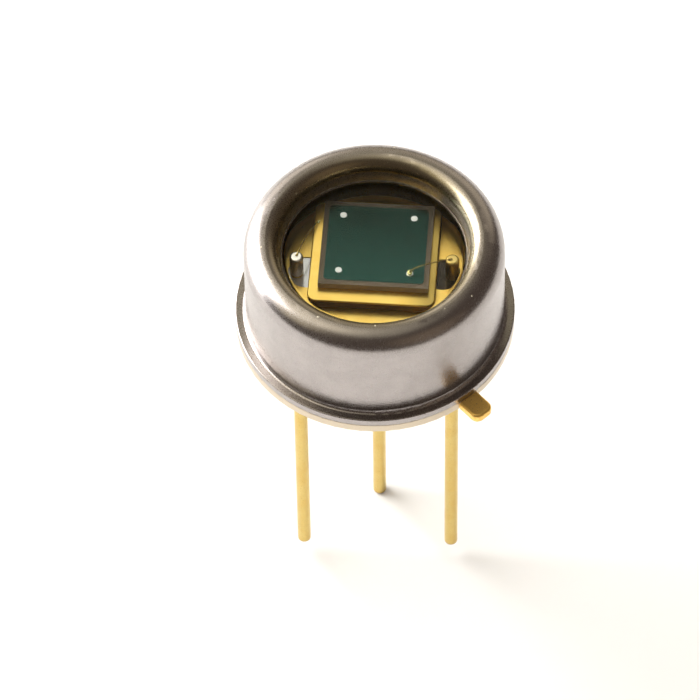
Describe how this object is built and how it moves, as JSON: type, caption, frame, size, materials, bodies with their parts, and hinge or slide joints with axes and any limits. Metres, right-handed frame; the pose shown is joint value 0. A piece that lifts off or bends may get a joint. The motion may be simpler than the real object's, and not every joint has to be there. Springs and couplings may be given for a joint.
{
  "type": "ingaas pin photodiode",
  "caption": "Round metal-can photodiode: a square light-sensitive chip under a recessed glass window, on a gold header with an index tab and straight board leads.",
  "frame": {"origin": "centre of the seating plane, the underside of the header flange", "axes": "+Z along the optical axis towards the light, +X towards the anode lead, +Y towards the case lead"},
  "size_m": [0.0092, 0.0092, 0.018],
  "materials": {
    "nickel": "satin nickel plate on drawn sheet",
    "gold": "gold plate",
    "bond_gold": "bright drawn gold wire",
    "window": "clear fused glass",
    "seal_glass": "smoky sealing glass",
    "solder": "dull gold-tin solder",
    "semiconductor": "polished die with a green anti-reflection coating",
    "pad_metal": "bright evaporated metal"
  },
  "bodies": {
    "root": {"header_shell": "gold", "header_glass": "seal_glass", "anode_lead": "gold", "cathode_lead": "gold", "case_lead": "gold", "case_weld": "solder", "cap_shell": "nickel", "window_glass": "window", "submount_solder": "solder", "submount": "gold", "die_attach": "solder", "photodiode_chip": "semiconductor", "bond_pads": "pad_metal", "anode_wire": "bond_gold", "cathode_wire": "bond_gold"}
  },
  "joints": []
}
